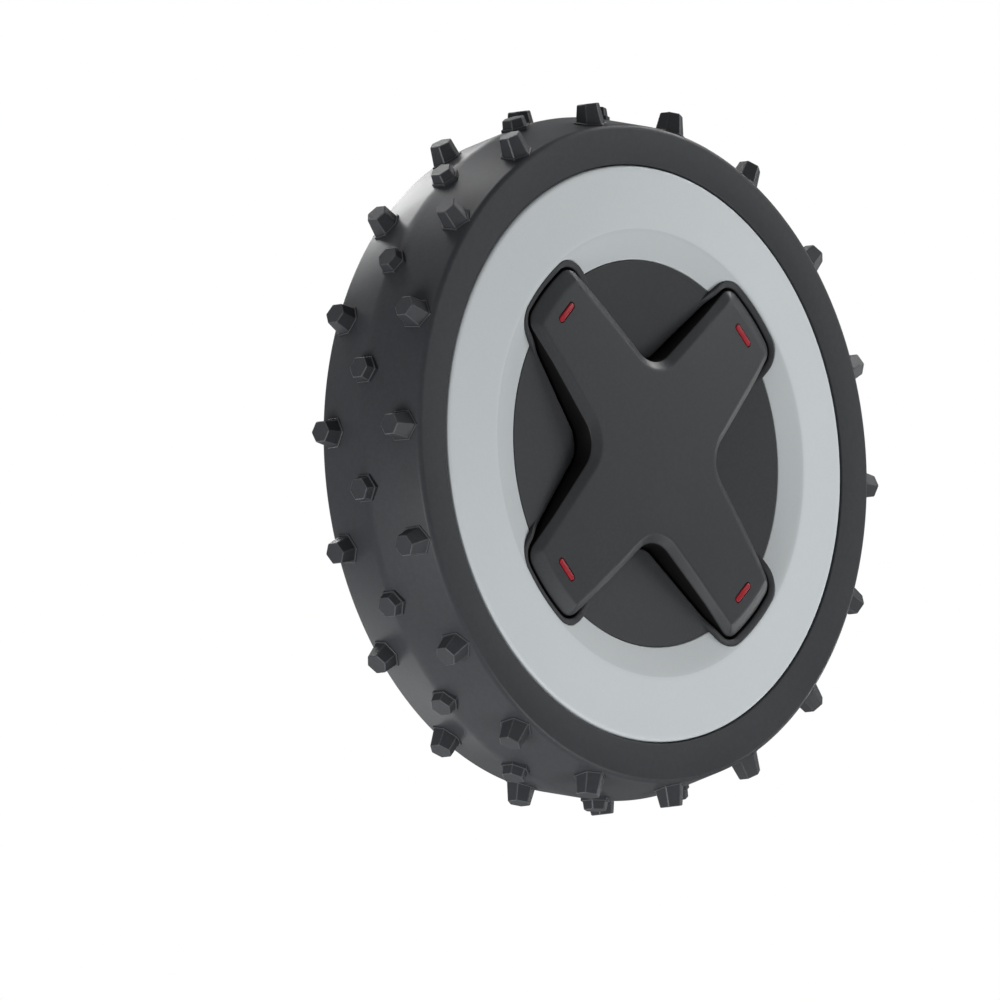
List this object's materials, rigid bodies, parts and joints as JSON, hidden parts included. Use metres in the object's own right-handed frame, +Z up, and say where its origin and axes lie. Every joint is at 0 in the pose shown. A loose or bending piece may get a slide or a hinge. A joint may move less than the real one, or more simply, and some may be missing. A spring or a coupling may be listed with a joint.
{
  "type": "robot vacuum wheel",
  "caption": "Studded rubber drive wheel on a ribbed plastic rim, with a light trim ring, a dished disc and a cross-shaped pull-off hub cap with red inlays.",
  "frame": {"origin": "the wheel's centre, on the axle line and midway across the tyre's width", "axes": "+Y along the axle towards the machine, so the outer face with the cap looks along -Y; +Z up; +X to the right seen from the outer face"},
  "size_m": [0.22, 0.0484, 0.22],
  "materials": {
    "tyre_rubber": "matte",
    "dark_moulding": "matte",
    "grey_moulding": "matte",
    "light_moulding": "satin",
    "cap_moulding": "matte",
    "red_inlay": "satin",
    "grip_rubber": "matte",
    "hub_metal": "satin",
    "fastener_steel": "satin"
  },
  "bodies": {
    "wheel": {"tyre": "tyre_rubber", "wheel_rim": "dark_moulding", "rear_ring": "dark_moulding", "rear_cover": "grey_moulding", "trim_ring": "light_moulding", "hub_disc": "dark_moulding", "drive_hub": "hub_metal", "axle_washer": "fastener_steel", "axle_nut": "fastener_steel", "cap_grip_upper_right": "grip_rubber", "cap_grip_upper_left": "grip_rubber", "cap_grip_lower_left": "grip_rubber", "cap_grip_lower_right": "grip_rubber", "hub_screws": "fastener_steel", "trim_screws": "fastener_steel", "disc_screws": "fastener_steel", "rear_cover_screws": "fastener_steel"},
    "cap": {"cross_cap": "cap_moulding", "red_inlay_upper_right": "red_inlay", "red_inlay_upper_left": "red_inlay", "red_inlay_lower_left": "red_inlay", "red_inlay_lower_right": "red_inlay"}
  },
  "joints": [
    {"name": "cap_slide", "type": "slide", "parent": "wheel", "child": "cap", "axis": [0, -1, 0], "range_m": [0, 0.03]}
  ]
}
